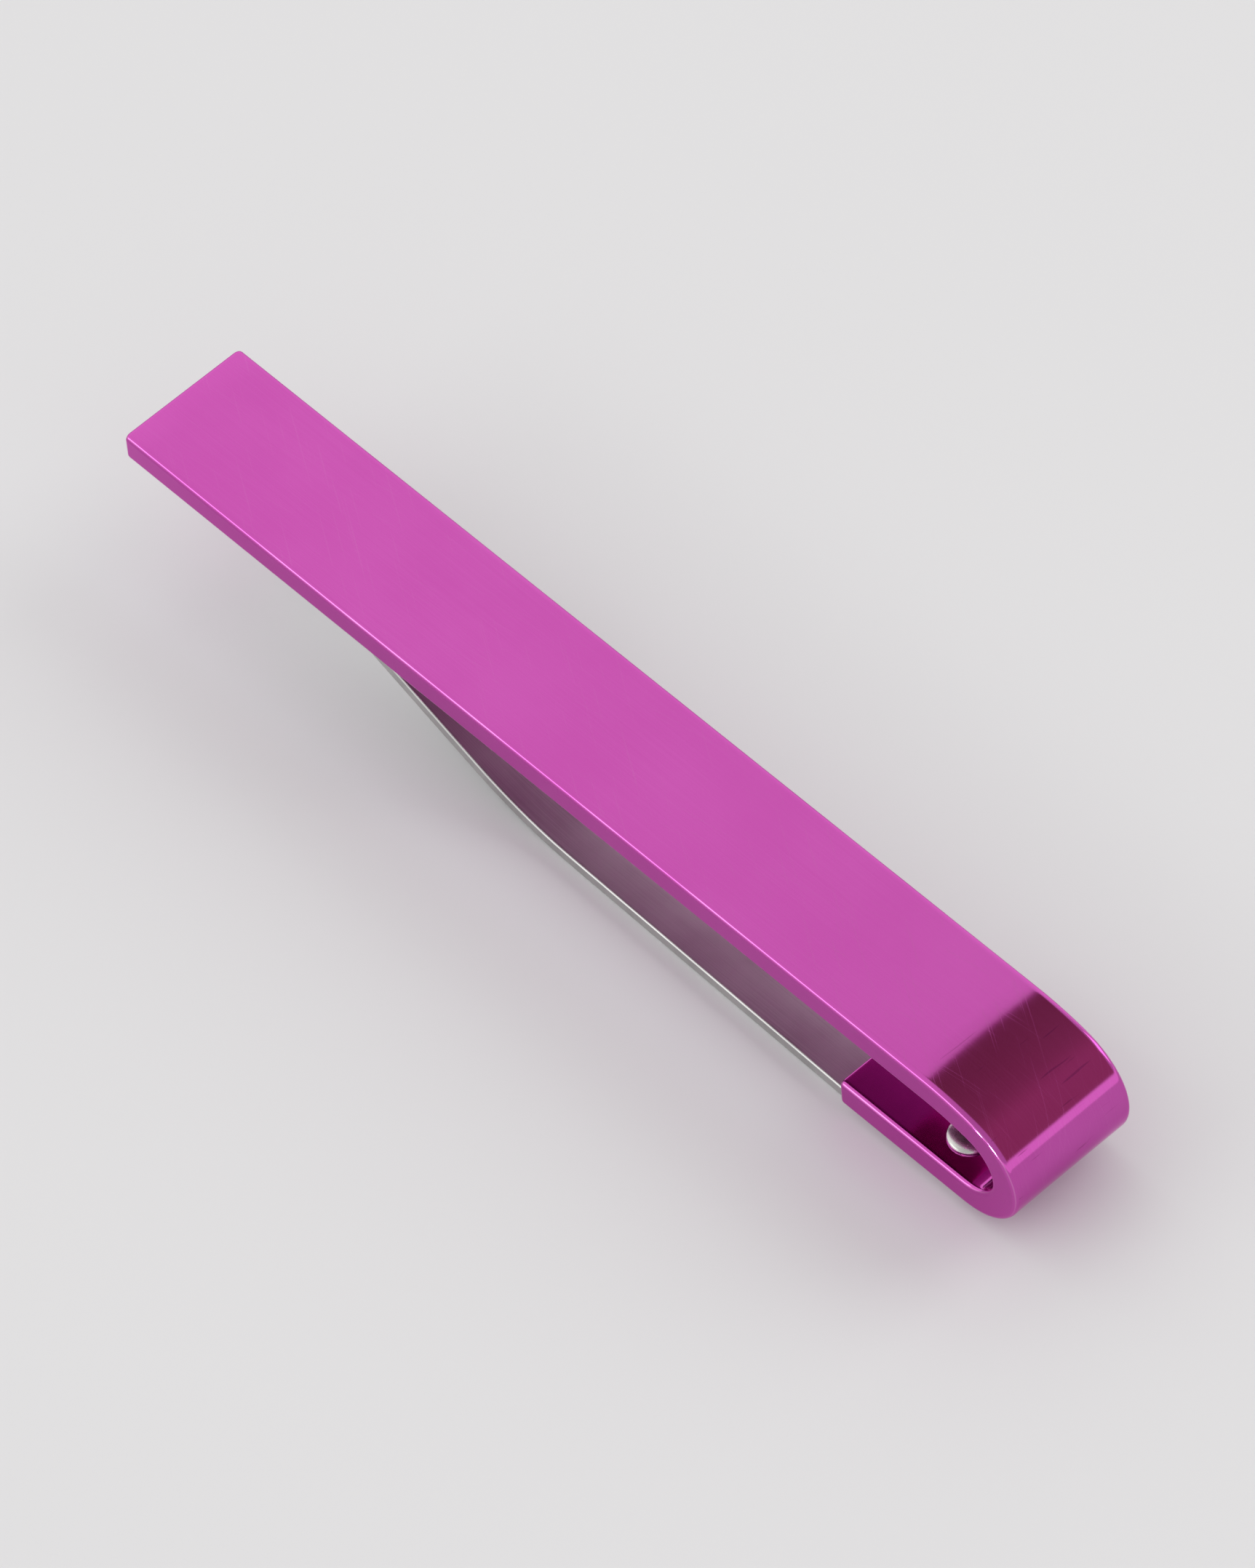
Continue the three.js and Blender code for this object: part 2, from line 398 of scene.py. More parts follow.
@dataclass(frozen=True)
class RolledSteel:
    """Satin cold-rolled spring steel: lengthwise rolling lines, faint stains and edges polished by use."""

    name: str = "rolled_spring_steel"
    steel: Colour = (0.575, 0.572, 0.560)
    dark_steel: Colour = (0.470, 0.465, 0.455)
    polished: Colour = (0.680, 0.675, 0.660)
    satin: float = 0.26
    line_length: float = 6.0 * MM
    line_width: float = 0.035 * MM
    line_mark: Mark = Mark(colour=0.6, roughness=0.14)
    stain_size: float = 2.8 * MM
    stain_mark: Mark = Mark(colour=0.4, roughness=0.06)
    tone_band: Band = (0.32, 0.62)
    rub_least: float = 0.5
    rub_band: Band = (0.4, 1.0)
    rub_gloss: float = 0.12
    relief: float = 0.0012 * MM

    def material(self) -> Material:
        """Makes the finish.

        Returns:
            The material.
        """
        material, graph = new_material(self.name)
        place = graph.place()
        x, y, _ = graph.split(place)
        drawn_out = graph.vector(x / self.line_length, y / self.line_width)
        lines = graph.noise(drawn_out, detail=3.0, roughness=0.65)
        stain = graph.noise(graph.scaled(place, self.stain_size), detail=4.0, roughness=0.6)
        rub = graph.smooth(graph.attribute("edge") * (self.rub_least + stain), *self.rub_band)
        tone = graph.smooth(lines * self.line_mark.colour + stain * self.stain_mark.colour, *self.tone_band)
        dulling = lines * self.line_mark.roughness + stain * self.stain_mark.roughness
        graph.principled({
            "Base Color": graph.mix(rub, graph.mix(tone, self.dark_steel, self.steel), self.polished),
            "Metallic": 1.0,
            "Roughness": self.satin + dulling - rub * self.rub_gloss,
            "Normal": graph.bump(lines, self.relief),
        })
        return material


@dataclass(frozen=True)
class TurnedSteel:
    """Bright rivet steel with rings from its forming tool."""

    name: str = "turned_rivet_steel"
    steel: Colour = (0.660, 0.650, 0.625)
    dark_steel: Colour = (0.540, 0.530, 0.505)
    gloss: float = 0.18
    ring_width: float = 0.03 * MM
    ring_mark: Mark = Mark(colour=0.5, roughness=0.06)
    grime_size: float = 0.5 * MM
    grime_mark: Mark = Mark(colour=0.5, roughness=0.12)
    tone_band: Band = (0.3, 0.65)
    relief: float = 0.0015 * MM

    def material(self) -> Material:
        """Makes the finish.

        Returns:
            The material.
        """
        material, graph = new_material(self.name)
        rings = graph.noise(graph.vector(graph.attribute("radius") / self.ring_width, 0.0), detail=2.0)
        grime = graph.noise(graph.scaled(graph.place(), self.grime_size), detail=3.0)
        tone = graph.smooth(rings * self.ring_mark.colour + grime * self.grime_mark.colour, *self.tone_band)
        graph.principled({
            "Base Color": graph.mix(tone, self.dark_steel, self.steel),
            "Metallic": 1.0,
            "Roughness": self.gloss + grime * self.grime_mark.roughness + rings * self.ring_mark.roughness,
            "Normal": graph.bump(rings, self.relief),
        })
        return material


def smooth_step(share: Array) -> Array:
    """Rises from 0 to 1 with level ends: three times the square less twice the cube of the share."""
    kept = np.clip(share, 0.0, 1.0)
    return kept * kept * (3.0 - 2.0 * kept)


def raised_cosine(share: Array) -> Array:
    """Falls from 1 to 0 with level ends: half of one plus the cosine of pi times the share."""
    return (1.0 + np.cos(math.pi * np.clip(share, 0.0, 1.0))) / 2.0


@dataclass(frozen=True)
class Span:
    """A stretch of a bent line: its length, its curvature, and the length over which that sets in."""

    length: float
    curvature: float = 0.0
    ease: float = 0.8 * MM


class BentLine:
    """A line in the XZ plane that starts level and turns as its spans say.

    The curvature is a sum of smooth steps, one about each span's start. Its running sum is the slope's angle,
    and the running sums of that angle's cosine and sine are the places along the line.
    """

    STEP = 0.01 * MM

    def __init__(self, start: tuple[float, float], toward: float, spans: Sequence[Span]) -> None:
        """Works the line out.

        Args:
            start: X and Z of its first point.
            toward: 1 to set out along +X, -1 along -X.
            spans: Its stretches in order; a positive curvature turns it upwards.
        """
        lengths = np.array([span.length for span in spans])
        self.length = float(lengths.sum())
        self.toward = toward
        self.run = np.linspace(0.0, self.length, round(self.length / self.STEP) + 1)
        curvatures = np.array([span.curvature for span in spans])
        eases = np.array([span.ease for span in spans])
        rise = (self.run[:, None] - (np.cumsum(lengths) - lengths)) / eases + 0.5
        curvature = smooth_step(rise) @ np.diff(curvatures, prepend=0.0)
        self.angle = self._running_sum(curvature)
        self.x = start[0] + toward * self._running_sum(np.cos(self.angle))
        self.z = start[1] + self._running_sum(np.sin(self.angle))

    def _running_sum(self, values: Array) -> Array:
        """Sum of values times the step up to each point, by the trapezium rule."""
        steps = (values[1:] + values[:-1]) / 2.0 * np.diff(self.run)
        return np.concatenate([[0.0], np.cumsum(steps)])

    def at(self, run: Array) -> tuple[Array, Array]:
        """Points and normals at distances along the line.

        Args:
            run: The distances.

        Returns:
            The points, and the unit normals on the side that starts as the upper one, as rows of X, Y, Z.
        """
        x, z, angle = (np.interp(run, self.run, each) for each in (self.x, self.z, self.angle))
        level = np.zeros_like(run)
        normals = np.stack([-self.toward * np.sin(angle), level, np.cos(angle)], -1)
        return np.stack([x, level, z], -1), normals


@dataclass(frozen=True)
class StripSection:
    """A rounded rectangle whose sizes may change along a strip.

    A point is its anchor times (half size - edge radius), plus its swing times the edge radius. The anchor
    goes round a square. The swing is a unit vector that turns a quarter at each corner and is still along a
    side. The edge radius is at most the fullest share of the smaller half size, and a point whose swing is
    steep lies on the upper face.
    """

    wide_steps: int = 16
    narrow_steps: int = 4
    arc_steps: int = 6
    hold: float = 0.015
    fullest: float = 0.6
    steep: float = 0.999

    def loop(self) -> tuple[Array, Array]:
        """Goes once round the section.

        Returns:
            The anchors and the swings, as rows of across and out.
        """
        corners = np.array([(1.0, 1.0), (-1.0, 1.0), (-1.0, -1.0), (1.0, -1.0)])
        sides = np.roll(corners, -1, 0) - corners
        anchors, swings = [], []
        for quarter, steps in enumerate((self.wide_steps, self.narrow_steps) * 2):
            turn = (quarter + np.linspace(0.0, 1.0, self.arc_steps + 1)) * QUARTER
            share = np.concatenate([[self.hold], np.linspace(0.0, 1.0, steps + 1)[1:-1], [1.0 - self.hold]])
            side = corners[quarter] + share[:, None] * sides[quarter]
            arc = np.stack([np.cos(turn), np.sin(turn)], -1)
            anchors += [np.repeat(corners[[quarter]], len(turn), 0), side]
            swings += [arc, np.repeat(arc[[-1]], len(share), 0)]
        return np.concatenate(anchors), np.concatenate(swings)


def round_in(distance: Array, radius: float) -> Array:
    """How far a rounded end draws in: its radius less the height of its quarter circle at a distance.

    Args:
        distance: Distances from the end.
        radius: The rounding's radius.

    Returns:
        The draw-in at each distance, from radius at the end to 0 past the rounding.
    """
    short = np.clip(radius - distance, 0.0, radius)
    return radius - np.sqrt(radius**2 - short**2)


def end_stations(radius: float, steps: int, first: float = 0.0) -> Array:
    """Distances from a rounded end that step evenly round its quarter circle: radius times (1 - cosine).

    Args:
        radius: The rounding's radius.
        steps: Steps round the quarter.
        first: Angle of the first station.

    Returns:
        The distances.
    """
    return radius * (1.0 - np.cos(np.linspace(first, QUARTER, steps + 1)))


@dataclass(frozen=True)
class Carried:
    """A section carried along a line: the grid of points, and what each one is on the strip."""

    grid: Array
    run: Array
    across: Array
    edge: Array
    upper: Array


def carry(
    line: BentLine, run: Array, section: StripSection, half_width: Array, half_thickness: Array, edge: float
) -> Carried:
    """Carries a strip's section along its middle line.

    Args:
        line: The middle line.
        run: Stations along it.
        section: The section's loop.
        half_width: Half the width at each station.
        half_thickness: Half the thickness at each station.
        edge: Radius of the long edges, less where the strip is narrower.

    Returns:
        The grid, one row for each station.
    """
    anchor, swing = section.loop()
    sizes = np.stack([half_width, half_thickness], -1)
    radius = np.minimum(edge, section.fullest * sizes.min(-1))[:, None, None]
    local = anchor * (sizes[:, None, :] - radius) + swing * radius
    points, normals = line.at(run)
    grid = points[:, None, :] + normals[:, None, :] * local[..., 1:]
    grid[..., 1] += local[..., 0]
    diagonal = 1.0 - math.sqrt(0.5)
    on_arc = (1.0 - np.abs(swing).max(-1)) / diagonal
    to_end = np.minimum(run, line.length - run)
    near_end = np.clip(1.0 - to_end / edge, 0.0, 1.0)
    return Carried(
        grid=grid,
        run=np.broadcast_to(run[:, None], grid.shape[:2]),
        across=local[..., 0],
        edge=np.maximum(on_arc[None, :], near_end[:, None]),
        upper=np.broadcast_to(swing[:, 1] > section.steep, grid.shape[:2]),
    )


def new_piece(name: str, points: Array, faces: Sequence[Sequence[int]], values: Mapping[str, Array]) -> Piece:
    """Puts a surface into the scene.

    Args:
        name: The piece's name.
        points: Rows of X, Y, Z.
        faces: Rows of point numbers.
        values: Values at the points, by name.

    Returns:
        The piece, shaded smooth but for sharp edges.
    """
    mesh = bpy.data.meshes.new(name)
    mesh.from_pydata(points.tolist(), [], faces)
    for key, value in values.items():
        mesh.attributes.new(key, "FLOAT", "POINT").data.foreach_set("value", value.astype(np.float32).ravel())
    mesh.shade_smooth()
    mesh.set_sharp_from_angle(angle=SHARP_ANGLE)
    mesh.update()
    piece = bpy.data.objects.new(name, mesh)
    bpy.context.scene.collection.objects.link(piece)
    return piece


def ring_quads(index: Array) -> Array:
    """Quads between rings of points, each ring closed on itself.

    Args:
        index: Numbers of the points, one row for each ring.

    Returns:
        Rows of four numbers.
    """
    beside = np.roll(index, -1, axis=1)
    return np.stack([index[:-1], beside[:-1], beside[1:], index[1:]], -1).reshape(-1, 4)


def strip_piece(name: str, strip: Carried, values: Mapping[str, Array]) -> Piece:
    """Closes a carried strip: quads from ring to ring, and a flat cap on each end ring.

    Args:
        name: The piece's name.
        strip: The carried section.
        values: Values at its points, besides run, across and edge.

    Returns:
        The piece.
    """
    rings, loop, _ = strip.grid.shape
    index = np.arange(rings * loop).reshape(rings, loop)
    quads = ring_quads(index)
    caps = [index[0, ::-1], index[-1]]
    if strip.grid[1, :, 0].mean() < strip.grid[0, :, 0].mean():
        quads, caps = quads[:, ::-1], [cap[::-1] for cap in caps]
    faces = quads.tolist() + [cap.tolist() for cap in caps]
    kept = {"run": strip.run, "across": strip.across, "edge": strip.edge, **values}
    return new_piece(name, strip.grid.reshape(-1, 3), faces, kept)


def turned_piece(name: str, profile: Array, centre: tuple[float, float], sides: int) -> Piece:
    """Turns a profile about an upright axis: radius times cosine and sine of the angle, closed at its poles.

    Args:
        name: The piece's name.
        profile: Rows of radius and height, from the lower pole to the upper one.
        centre: X and Y of the axis.
        sides: Steps round the axis.

    Returns:
        The piece, with the value radius at its points.
    """
    angle = np.linspace(0.0, 2.0 * math.pi, sides, endpoint=False)
    radius, height = profile[1:-1].T
    rings = np.stack([
        centre[0] + radius[:, None] * np.cos(angle),
        centre[1] + radius[:, None] * np.sin(angle),
        np.repeat(height[:, None], sides, 1),
    ], -1)
    poles = np.array([(*centre, profile[0, 1]), (*centre, profile[-1, 1])])
    index = np.arange(rings.shape[0] * sides).reshape(-1, sides)
    beside = np.roll(index, -1, axis=1)
    low_pole, high_pole = index.size, index.size + 1
    low = np.stack([beside[0], index[0], np.full(sides, low_pole)], -1)
    high = np.stack([index[-1], beside[-1], np.full(sides, high_pole)], -1)
    faces = ring_quads(index).tolist() + low.tolist() + high.tolist()
    points = np.concatenate([rings.reshape(-1, 3), poles])
    radii = np.concatenate([np.repeat(radius, sides), [0.0, 0.0]])
    return new_piece(name, points, faces, {"radius": radii})


def drill(piece: Piece, cutters: Sequence[Piece]) -> None:
    """Cuts holes through a piece.

    Args:
        piece: The piece, whose mesh is replaced by the cut one.
        cutters: Closed pieces of the holes' shape, which are then taken out of the file with their meshes.
    """
    for cutter in cutters:
        hole = piece.modifiers.new("hole", "BOOLEAN")
        hole.operation = "DIFFERENCE"
        hole.solver = "EXACT"
        hole.object = cutter
    graph = bpy.context.evaluated_depsgraph_get()
    evaluated = piece.evaluated_get(graph)
    whole = piece.data
    cut = bpy.data.meshes.new_from_object(evaluated, preserve_all_data_layers=True, depsgraph=graph)
    piece.modifiers.clear()
    piece.data = cut
    cut.name = whole.name
    cut.set_sharp_from_angle(angle=SHARP_ANGLE)
    for used in (whole, *(cutter.data for cutter in cutters)):
        bpy.data.meshes.remove(used)


def dress(piece: Piece, material: Material) -> None:
    """Gives a piece its one material."""
    piece.data.materials.clear()
    piece.data.materials.append(material)


@dataclass
class Rivets:
    """Two small rivets: a countersunk head in the leaf's underside and a low domed tail on the return."""

    place_x: float
    spacing: float
    return_top: float
    shank: float = 0.5 * MM
    head: float = 0.8 * MM
    head_depth: float = 0.3 * MM
    head_rim: float = 0.04 * MM
    recess: float = 0.03 * MM
    tail: float = 0.8 * MM
    tail_height: float = 0.3 * MM
    tail_rim: float = 0.05 * MM
    dimple: float = 0.22 * MM
    dimple_depth: float = 0.05 * MM
    clearance: float = 0.05 * MM
    dome_steps: int = 22
    sides: int = 64
    cut_margin: float = 1.0 * MM

    def centre(self, side: RivetSide) -> tuple[float, float]:
        """X and Y of a rivet's axis."""
        return self.place_x, side.sign * self.spacing / 2.0

    def profile(self) -> Array:
        """Works out a rivet's half outline.

        The tail is a quarter ellipse, radius times cosine by height times sine, on a short upright rim. A
        raised cosine sinks its middle where the forming tool's point stood.

        Returns:
            Rows of radius and height, from the middle of the head up to the middle of the tail.
        """
        angle = np.linspace(0.0, QUARTER, self.dome_steps)
        radius = self.tail * np.cos(angle)
        radius[-1] = 0.0
        rise = self.tail_rim + (self.tail_height - self.tail_rim) * np.sin(angle)
        sunk = self.dimple_depth * raised_cosine(radius / self.dimple)
        dome = np.stack([radius, self.return_top + rise - sunk], -1)
        head = np.array([
            (0.0, self.recess),
            (self.head / 2.0, self.recess),
            (self.head - self.head_rim, self.recess),
            (self.head, self.recess + self.head_rim),
            (self.shank, self.recess + self.head_depth),
            (self.shank, self.return_top),
            (self.tail - self.tail_rim / 2.0, self.return_top),
        ])
        return np.concatenate([head, dome])

    def hole(self, side: RivetSide) -> Piece:
        """Makes the cutter for a rivet's room: its outline widened by the clearance, and open at both ends.

        Args:
            side: Which rivet.

        Returns:
            The cutter.
        """
        head, shank = self.head + self.clearance, self.shank + self.clearance
        high = self.return_top + self.tail_height
        profile = np.array([
            (0.0, -self.cut_margin),
            (head, -self.cut_margin),
            (head, self.recess),
            (shank, self.recess + self.head_depth),
            (shank, high),
            (0.0, high),
        ])
        return turned_piece("rivet_hole", profile, self.centre(side), self.sides)

    def drill_through(self, piece: Piece) -> None:
        """Drills a piece for both rivets."""
        drill(piece, [self.hole(side) for side in RivetSide])

    def build(self, finish: TurnedSteel) -> list[Piece]:
        """Makes and dresses both rivets.

        Args:
            finish: Their steel.

        Returns:
            The two pieces.
        """
        material = finish.material()
        made = []
        for side in RivetSide:
            piece = turned_piece(f"turned_{side.value}", self.profile(), self.centre(side), self.sides)
            dress(piece, material)
            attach(piece, Body.BAR.value)
            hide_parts(side.value)
            made.append(piece)
        return made


@dataclass
class FoldedBar:
    """Front bar, round bend and short return: one bent strip."""

    low: Vector
    high: Vector
    thickness: float = 1.2 * MM
    bend_radius: float = 2.55 * MM
    ease_radius: float = 10.0 * MM
    ease_angle: float = math.radians(14)
    return_length: float = 6.0 * MM
    edge: float = 0.2 * MM
    corner: float = 0.2 * MM
    bow: float = 0.006 * MM
    bow_lead: float = 0.7 * MM
    bend_step: float = 0.05 * MM
    flat_step: float = 1.0 * MM
    corner_steps: int = 12
    section: StripSection = StripSection()

    @property
    def bend_x(self) -> float:
        """Axis of the fold, where the return's flat starts."""
        return self.high.x - self.bend_radius

    @property
    def return_top(self) -> float:
        """Upper face of the return."""
        return self.low.z + self.thickness

    @property
    def flat_length(self) -> float:
        """Length of the flat front, up to the fold's soft start."""
        soft = (self.ease_radius - self.bend_radius) * math.sin(self.ease_angle)
        return self.bend_x - soft - self.low.x

    def line(self) -> BentLine:
        """Works out the strip's middle line: flat, soft start, fold and return.

        Returns:
            The line, from the free end.
        """
        half = self.thickness / 2.0
        ease, bend = self.ease_radius - half, self.bend_radius - half
        spans = [
            Span(self.flat_length),
            Span(ease * self.ease_angle, -1.0 / ease),
            Span(bend * (math.pi - self.ease_angle), -1.0 / bend),
            Span(self.return_length),
        ]
        return BentLine((self.low.x, self.high.z - half), toward=1.0, spans=spans)

    def stations(self, line: BentLine) -> Array:
        """Spaces stations along the strip, close together on the fold and at both ends.

        Args:
            line: The strip's middle line.

        Returns:
            Distances along the line.
        """
        end = end_stations(self.corner, self.corner_steps)
        fold_start = self.flat_length - self.flat_step
        fold_end = line.length - self.return_length + self.flat_step
        flat = np.arange(self.corner + self.flat_step, fold_start, self.flat_step)
        fold = np.arange(fold_start, fold_end, self.bend_step)
        back = np.arange(fold_end + self.flat_step / 2.0, line.length - 2.0 * self.corner, self.flat_step)
        return np.concatenate([end, flat, fold, back, (line.length - end)[::-1]])

    def fold_share(self, run: Array, line: BentLine) -> Array:
        """How far stations belong to the fold: a smooth step up at its start, less one at its end.

        Args:
            run: The stations.
            line: The strip's middle line.

        Returns:
            1 on the fold and 0 on the flats.
        """
        ends = np.array([self.flat_length, line.length - self.return_length])
        up, down = smooth_step((run - ends[:, None]) / (2.0 * self.bow_lead) + 0.5)
        return up - down

    def draw_in(self, strip: Carried, line: BentLine, fold: Array) -> None:
        """Bows the strip across the fold, as bending does: by 1 less the square of the width's share.

        Args:
            strip: The carried strip, whose grid is changed.
            line: Its middle line.
            fold: How much of the bow each station has.
        """
        _, normals = line.at(strip.run[:, 0])
        share = 2.0 * strip.across / (self.high.y - self.low.y)
        sunk = self.bow * fold[:, None] * (1.0 - share**2)
        strip.grid[...] -= normals[:, None, :] * sunk[..., None]

    def build(self, rivets: Rivets, finish: DyedPolish) -> Piece:
        """Makes and dresses the bar.

        Args:
            rivets: What its return is drilled for.
            finish: Its dyed polish.

        Returns:
            The piece.
        """
        line = self.line()
        run = self.stations(line)
        to_end = np.minimum(run, line.length - run)
        half_width = (self.high.y - self.low.y) / 2.0 - round_in(to_end, self.corner)
        half_thickness = self.thickness / 2.0 - round_in(to_end, self.edge)
        strip = carry(line, run, self.section, half_width, half_thickness, self.edge)
        fold = self.fold_share(run, line)
        self.draw_in(strip, line, fold)
        piece = strip_piece("polished_bar", strip, {"face": strip.upper, "fold": fold[:, None] * strip.upper})
        rivets.drill_through(piece)
        dress(piece, finish.material())
        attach(piece, Body.BAR.value)
        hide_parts("folded_bar")
        return piece


@dataclass
class SpringLeaf:
    """Leaf under the return, one strip: riveted foot, flat back, ramp, ridged crest and flared round tip."""

    foot_x: float
    flex_x: float
    root_width: float
    thickness: float
    bar_end_x: float
    crest_top: float
    crest_inset: float = 8.0 * MM
    tip_width: float = 3.4 * MM
    foot_corner: float = 0.8 * MM
    ramp_radius: float = 14.0 * MM
    ramp_angle: float = math.radians(20)
    crest_radius: float = 5.0 * MM
    flare_angle: float = math.radians(28)
    flare_length: float = 1.6 * MM
    flex_length: float = 0.7 * MM
    edge: float = 0.09 * MM
    ridge_count: int = 3
    ridge_pitch: float = 0.9 * MM
    ridge_height: float = 0.15 * MM
    ridge_half: float = 0.26 * MM
    ridge_margin: float = 0.5 * MM
    ridge_fade: float = 0.3 * MM
    seat_gap: float = 0.004 * MM
    coarse_step: float = 0.5 * MM
    fine_step: float = 0.035 * MM
    tip_steps: int = 26
    tip_first: float = math.radians(4)
    section: StripSection = StripSection(wide_steps=40, arc_steps=5)

    @property
    def arc_radii(self) -> float:
        """Radius where the ramp starts and radius over the crest, added."""
        return self.ramp_radius + self.crest_radius

    @property
    def ramp(self) -> float:
        """Length of the ramp's straight part: the rise left over by the curves at its ends, over its sine."""
        rise = self.crest_top - self.ridge_height - self.thickness
        return (rise - self.arc_radii * (1.0 - math.cos(self.ramp_angle))) / math.sin(self.ramp_angle)

    @property
    def flat_length(self) -> float:
        """Length of the flat back, from the foot's end to the ramp."""
        reach = self.arc_radii * math.sin(self.ramp_angle) + self.ramp * math.cos(self.ramp_angle)
        return self.foot_x - (self.bar_end_x + self.crest_inset + reach)

    @property
    def crest_run(self) -> float:
        """Distance along the leaf to the top of its crest."""
        return self.flat_length + self.ramp + self.arc_radii * self.ramp_angle

    def line(self) -> BentLine:
        """Works out the leaf's middle line.

        Returns:
            The line, from the foot's end to the tip.
        """
        spans = [
            Span(self.flat_length),
            Span(self.ramp_radius * self.ramp_angle, 1.0 / self.ramp_radius),
            Span(self.ramp),
            Span(self.crest_radius * (self.ramp_angle + self.flare_angle), -1.0 / self.crest_radius),
            Span(self.flare_length),
        ]
        return BentLine((self.foot_x, self.thickness / 2.0), toward=-1.0, spans=spans)

    def stations(self, line: BentLine) -> Array:
        """Spaces stations along the leaf, close together at its ends, where it flexes and over the ridges.

        Args:
            line: The leaf's middle line.

        Returns:
            Distances along the line.
        """
        foot = end_stations(self.foot_corner, self.tip_steps)
        tip = line.length - end_stations(self.tip_width / 2.0, self.tip_steps, self.tip_first)[::-1]
        flex = self.foot_x - self.flex_x
        bending = np.arange(flex - self.flex_length, flex + self.flex_length, 2.0 * self.fine_step)
        ridged = self.ridge_pitch * (self.ridge_count + 1) / 2.0
        ridges = np.arange(self.crest_run - ridged, self.crest_run + ridged, self.fine_step)
        before = np.arange(foot[-1] + self.coarse_step / 2.0, bending[0], self.coarse_step / 2.0)
        flat = np.arange(bending[-1] + self.coarse_step, ridges[0], self.coarse_step)
        past = np.arange(ridges[-1] + self.fine_step, tip[0], self.coarse_step / 2.0)
        return np.concatenate([foot, before, bending, flat, ridges, past, tip])

    def ridges(self, strip: Carried) -> Array:
        """Height of the grip ridges: raised cosines along the leaf that fade out before its edges.

        Args:
            strip: The carried leaf.

        Returns:
            The height at each of its points, 0 below.
        """
        ranks = np.arange(self.ridge_count) - (self.ridge_count - 1) / 2.0
        from_ridge = np.abs(strip.run[..., None] - self.crest_run - ranks * self.ridge_pitch).min(-1)
        swell = raised_cosine(from_ridge / self.ridge_half)
        half_width = np.abs(strip.across).max(-1, keepdims=True)
        inside = smooth_step((half_width - self.ridge_margin - np.abs(strip.across)) / self.ridge_fade)
        return self.ridge_height * swell * inside * strip.upper

    def build(self, rivets: Rivets, finish: RolledSteel) -> Piece:
        """Makes and dresses the leaf.

        Args:
            rivets: What its foot is drilled for.
            finish: Its steel.

        Returns:
            The piece, attached to neither body; the real leaf bends between the two.
        """
        line = self.line()
        run = self.stations(line)
        to_foot, to_tip = run, line.length - run
        points, normals = line.at(run)
        tip_x = line.x[-1] + self.tip_width / 2.0
        taper = np.interp(points[:, 0], [tip_x, self.flex_x], [self.tip_width / 2.0, self.root_width / 2.0])
        half_width = taper - round_in(to_foot, self.foot_corner) - round_in(to_tip, self.tip_width / 2.0)
        thinner = round_in(np.minimum(to_foot, to_tip), self.edge) + self.seat_gap / 2.0
        strip = carry(line, run, self.section, half_width, self.thickness / 2.0 - thinner, self.edge)
        strip.grid[...] += normals[:, None, :] * self.ridges(strip)[..., None]
        piece = strip_piece("rolled_leaf", strip, {})
        rivets.drill_through(piece)
        dress(piece, finish.material())
        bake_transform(piece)
        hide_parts("spring_leg", "leg_foot")
        return piece


@dataclass(frozen=True)
class PhotoCamera:
    """Camera where the photograph was taken from, turned onto the clip, with a longer lens."""

    place: Vector = Vector((191.75 * MM, -159.08 * MM, 334.7 * MM))
    azimuth: float = math.radians(43.88)
    elevation: float = math.radians(50.38)
    fill: float = 0.80
    sensor: float = 36.0
    turns: int = 2

    def build(self, points: Array) -> None:
        """Makes the camera and aims it.

        The photograph's own axes are turned by the smallest angle that puts the clip in the middle, which
        keeps the way that its edges run in the picture.

        Args:
            points: Points of the clip, which fill the frame's width.
        """
        azimuth, elevation = self.azimuth, self.elevation
        right = Vector((math.cos(azimuth), math.sin(azimuth), 0.0))
        level = math.cos(elevation)
        back = Vector((math.sin(azimuth) * level, -math.cos(azimuth) * level, math.sin(elevation)))
        axes = Matrix((right, back.cross(right), back)).transposed()
        for _ in range(self.turns):
            seen = (points - np.array(self.place)) @ np.array(axes)
            flat = seen[:, :2] / -seen[:, 2:]
            middle = (flat.min(0) + flat.max(0)) / 2.0
            aim = axes @ Vector((*middle, -1.0))
            axes = (-axes.col[2]).rotation_difference(aim).to_matrix() @ axes
        width, height = flat.max(0) - flat.min(0)
        camera = bpy.data.objects.new("camera", bpy.data.cameras.new("camera"))
        camera.data.sensor_width = self.sensor
        camera.data.lens = self.sensor * self.fill * PHOTO_SIZE[0] / (width * PHOTO_SIZE[1])
        camera.matrix_world = Matrix.Translation(self.place) @ axes.to_4x4()
        bpy.context.scene.collection.objects.link(camera)
        bpy.context.scene.camera = camera
        log.info("camera: lens %.0f mm, the clip is %.3f by %.3f in view", camera.data.lens, width, height)


@dataclass(frozen=True)
class Lamp:
    """A soft rectangular lamp that faces the clip.

    A radiance of 1 shows as white, and a glint lights the bar alone.
    """

    name: str
    direction: Vector
    size: tuple[float, float]
    radiance: float
    glint: bool = False
    distance: float = 1.5

    def build(self, polished: bpy.types.Collection) -> None:
        """Hangs the lamp; its power is pi times its area times its radiance.

        Args:
            polished: What a glint is kept to.
        """
        data = bpy.data.lights.new(self.name, "AREA")
        data.shape = "RECTANGLE"
        data.size, data.size_y = self.size
        data.energy = math.pi * self.size[0] * self.size[1] * self.radiance
        way = self.direction.normalized()
        facing = way.to_track_quat("Z", "Y").to_matrix().to_4x4()
        lamp = bpy.data.objects.new(self.name, data)
        lamp.matrix_world = Matrix.Translation(way * self.distance) @ facing
        lamp.visible_camera = False
        if self.glint:
            lamp.light_linking.receiver_collection = polished
        bpy.context.scene.collection.objects.link(lamp)


